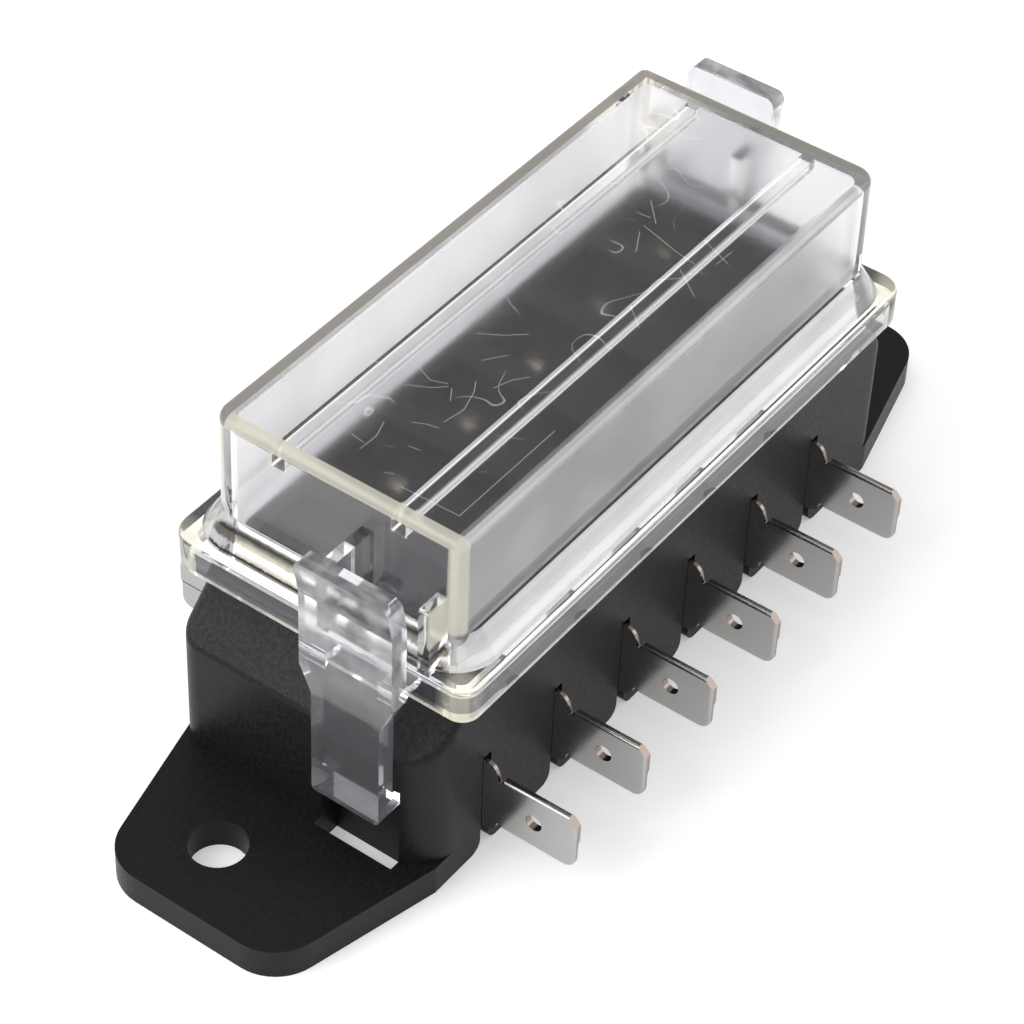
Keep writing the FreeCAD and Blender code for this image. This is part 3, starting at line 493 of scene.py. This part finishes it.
def cover_plastic():
    """Clear plastic, with a tint and a painted glow for each of its zones, later ones over
    earlier.
    """
    material, tree, shader = new_material("clear polycarbonate")
    place, at = frame_place(tree)
    face = cover_faces()
    clouds = step(tree, noise(tree, place, 130.0), 0.35, 0.65)
    fine = noise(tree, place, 3200.0)
    hollow = hollow_mask(tree, place, face)
    top = beyond(tree, at.z, face.crown - 0.90, 0.10)
    speckle = both(tree, hollow, step(tree, fine, 0.50, 0.72))
    side, rear, front = wall_masks(tree, at, face, hollow)
    edge = beige_edge_glow_mask(tree, at, face, hollow, top)
    far_rim = far_rim_mask(tree, at, face, top)
    rib, rib_edge_glint = rib_masks(tree, at, face, hollow)
    end_slope, side_slope, corner_slope = shoulder_masks(tree, at, face)
    flange_corner, skirt_end, skirt_side = flange_masks(tree, at, face)
    shoulder_reflections = painted_shoulder_reflections(tree, at, face, fine)
    glowing_scratches = either(tree, curl_mask(tree, place, at, top, clouds),
                       both(tree, scratch_mask(tree, place, face), 0.8))
    side_glow = mix(tree, "RGBA", clouds, (0.10, 0.10, 0.105, 1), (0.17, 0.17, 0.175, 1))

    # Each zone's tint and painted glow (emission) stand for the light and shade it picks up:
    # painted glow on the walls, rims, edges and shoulder, painted reflections on the shoulder,
    # painted shade on the skirt's ends and painted glints on the rib edges.
    zones = [
        (hollow, (0.90, 0.89, 0.94, 1), (0.001, 0.001, 0.002, 1)),
        (speckle, (0.88, 0.87, 0.92, 1), (0.010, 0.010, 0.013, 1)),
        # The inner walls get a painted glow for the light they pick up.
        (side, (0.84, 0.84, 0.86, 1), side_glow),
        (rear, (0.86, 0.86, 0.88, 1), (0.060, 0.060, 0.064, 1)),
        (front, (0.90, 0.89, 0.93, 1), (0.026, 0.025, 0.031, 1)),
        # The shoulder's ends and sides carry the painted reflections of dark and brown lines, and
        # a painted glow.
        (end_slope, shoulder_reflections, (0.010, 0.009, 0.008, 1)),
        (either(tree, side_slope, corner_slope), grey(0.55), (0.24, 0.24, 0.235, 1)),
        (both(tree, side_slope, 0.30), shoulder_reflections, (0.10, 0.10, 0.095, 1)),
        # The skirt's ends are tinted nearly black as painted shade, with a faint painted glow.
        (skirt_end, (0.012, 0.0115, 0.014, 1), (0.030, 0.029, 0.036, 1)),
        # The flange's corners: a beige tint with a painted glow.
        (flange_corner, (0.60, 0.58, 0.50, 1), (0.16, 0.155, 0.13, 1)),
        (skirt_side, (0.50, 0.49, 0.51, 1), (0.010, 0.010, 0.012, 1)),
        # The beige edges: a nearly opaque tint with a strong beige painted glow.
        (edge, (0.10, 0.092, 0.062, 1), (0.45, 0.432, 0.365, 1)),
        # The far rim: a dark tint with a grey-brown painted glow.
        (far_rim, (0.03, 0.028, 0.025, 1), (0.20, 0.185, 0.165, 1)),
        (rib, (0.88, 0.88, 0.89, 1), (0.020, 0.020, 0.021, 1)),
        # The ribs' lower edges glow white: a painted glint.
        (rib_edge_glint, grey(0.30), (0.50, 0.50, 0.49, 1)),
        # The scratches and curls are real marks, drawn pale with a painted glow.
        (glowing_scratches, grey(0.40), grey(0.70)),
    ]
    tint, painted_glow = (0.975, 0.972, 0.955, 1), grey(0.0)
    for zone, zone_tint, zone_glow in zones:
        tint = mix(tree, "RGBA", zone, tint, zone_tint)
        painted_glow = mix(tree, "RGBA", zone, painted_glow, zone_glow)
    rough = cover_roughness(tree, clouds, hollow, either(tree, edge, far_rim),
                            either(tree, side, rear))
    link(tree, rough, shader.inputs["Roughness"])
    link(tree, tint, shader.inputs["Base Color"])
    # The painted glow goes into the emission.
    link(tree, painted_glow, shader.inputs["Emission Color"])
    shader.inputs["Emission Strength"].default_value = 1.0
    shader.inputs["Transmission Weight"].default_value = 1.0
    shader.inputs["IOR"].default_value = 1.50
    return material


dress("cover", cover_plastic())

# Clips
# The two clips are moulded in the same clear plastic and rock on thin webs at the flange. Their
# heads are mottled, with a painted glow in the mottle, and their legs are clearer.


def clip_plastic():
    """The same plastic, mottled towards the head, with a weak painted glow that is stronger in
    the mottle.
    """
    material, tree, shader = new_material("clip polycarbonate")
    place, at = frame_place(tree)
    mottle = both(tree, step(tree, noise(tree, place, 420.0), 0.40, 0.66),
                  beyond(tree, at.z, 20.0, 9.0))
    link(tree, mix(tree, "FLOAT", mottle, 0.04, 0.14), shader.inputs["Roughness"])
    link(tree, mix(tree, "RGBA", mottle, (0.72, 0.72, 0.755, 1), grey(0.66)),
         shader.inputs["Base Color"])
    # A painted glow: faint everywhere and stronger in the mottle.
    link(tree, mix(tree, "RGBA", mottle, (0.010, 0.010, 0.011, 1), grey(0.10)),
         shader.inputs["Emission Color"])
    shader.inputs["Emission Strength"].default_value = 1.0
    shader.inputs["Transmission Weight"].default_value = 0.96
    shader.inputs["IOR"].default_value = 1.50
    return material


haze_and_glow_clip = clip_plastic()
dress("front_clip", haze_and_glow_clip)
dress("rear_clip", haze_and_glow_clip)

# Floor and light
# A plain pale floor that glows a little, for a white ground. The strongest light is the soft
# one at the left; a weaker one hangs above and the weakest stands at the right.


def make_floor():
    reach = 3.0
    mesh = bpy.data.meshes.new("floor")
    corners = [(-reach, -reach, 0), (reach, -reach, 0), (reach, reach, 0), (-reach, reach, 0)]
    mesh.from_pydata(corners, [], [(0, 1, 2, 3)])
    floor = bpy.data.objects.new("floor", mesh)
    bpy.context.scene.collection.objects.link(floor)
    material, tree, shader = new_material("pale floor")
    shader.inputs["Base Color"].default_value = grey(0.96)
    shader.inputs["Roughness"].default_value = 0.9
    shader.inputs["Specular IOR Level"].default_value = 0.1
    shader.inputs["Emission Color"].default_value = grey(1)
    shader.inputs["Emission Strength"].default_value = 0.32
    mesh.materials.append(material)


def make_light(name, place, size, power):
    """A square area light that looks at the middle of the block."""
    middle = Vector((0.0, 0.0, 0.02))
    data = bpy.data.lights.new(name, "AREA")
    data.shape = "SQUARE"
    data.size = size
    data.energy = power
    light = bpy.data.objects.new(name, data)
    light.location = place
    light.rotation_euler = (middle - Vector(place)).to_track_quat("-Z", "Y").to_euler()
    bpy.context.scene.collection.objects.link(light)


def make_world():
    world = bpy.data.worlds.new("studio")
    world.use_nodes = True
    background = world.node_tree.nodes["Background"]
    background.inputs["Color"].default_value = grey(1)
    background.inputs["Strength"].default_value = 0.58
    bpy.context.scene.world = world


make_floor()
make_light("overhead", (-0.05, 0.10, 0.75), size=0.60, power=1.1)
make_light("left", (-0.52, 0.32, 0.46), size=0.52, power=2.8)
make_light("right", (0.45, -0.50, 0.25), size=0.40, power=0.8)
make_world()
bpy.context.scene.view_settings.view_transform = "Standard"

# Camera
# It stands above the front left corner, at the photograph's angle and with its long lens.


def make_camera():
    azimuth = math.radians(-55.392)
    elevation = math.radians(43.23)
    roll = math.radians(2.663)
    distance = 0.32436
    target = Vector((-0.002151, 0.0026, 0.012))
    back = Vector((math.sin(azimuth) * math.cos(elevation),
                   -math.cos(azimuth) * math.cos(elevation), math.sin(elevation)))
    level = Vector((-back.y, back.x, 0)).normalized()
    upright = back.cross(level)
    right = math.cos(roll) * level + math.sin(roll) * upright
    up = math.cos(roll) * upright - math.sin(roll) * level
    data = bpy.data.cameras.new("camera")
    data.sensor_width = 36.0
    data.lens = 119.99
    data.clip_start = 0.01
    data.clip_end = 20.0
    camera = bpy.data.objects.new("camera", data)
    turn = Matrix((right, up, back)).transposed().to_4x4()
    camera.matrix_world = Matrix.Translation(target + distance * back) @ turn
    bpy.context.scene.collection.objects.link(camera)
    bpy.context.scene.camera = camera


make_camera()
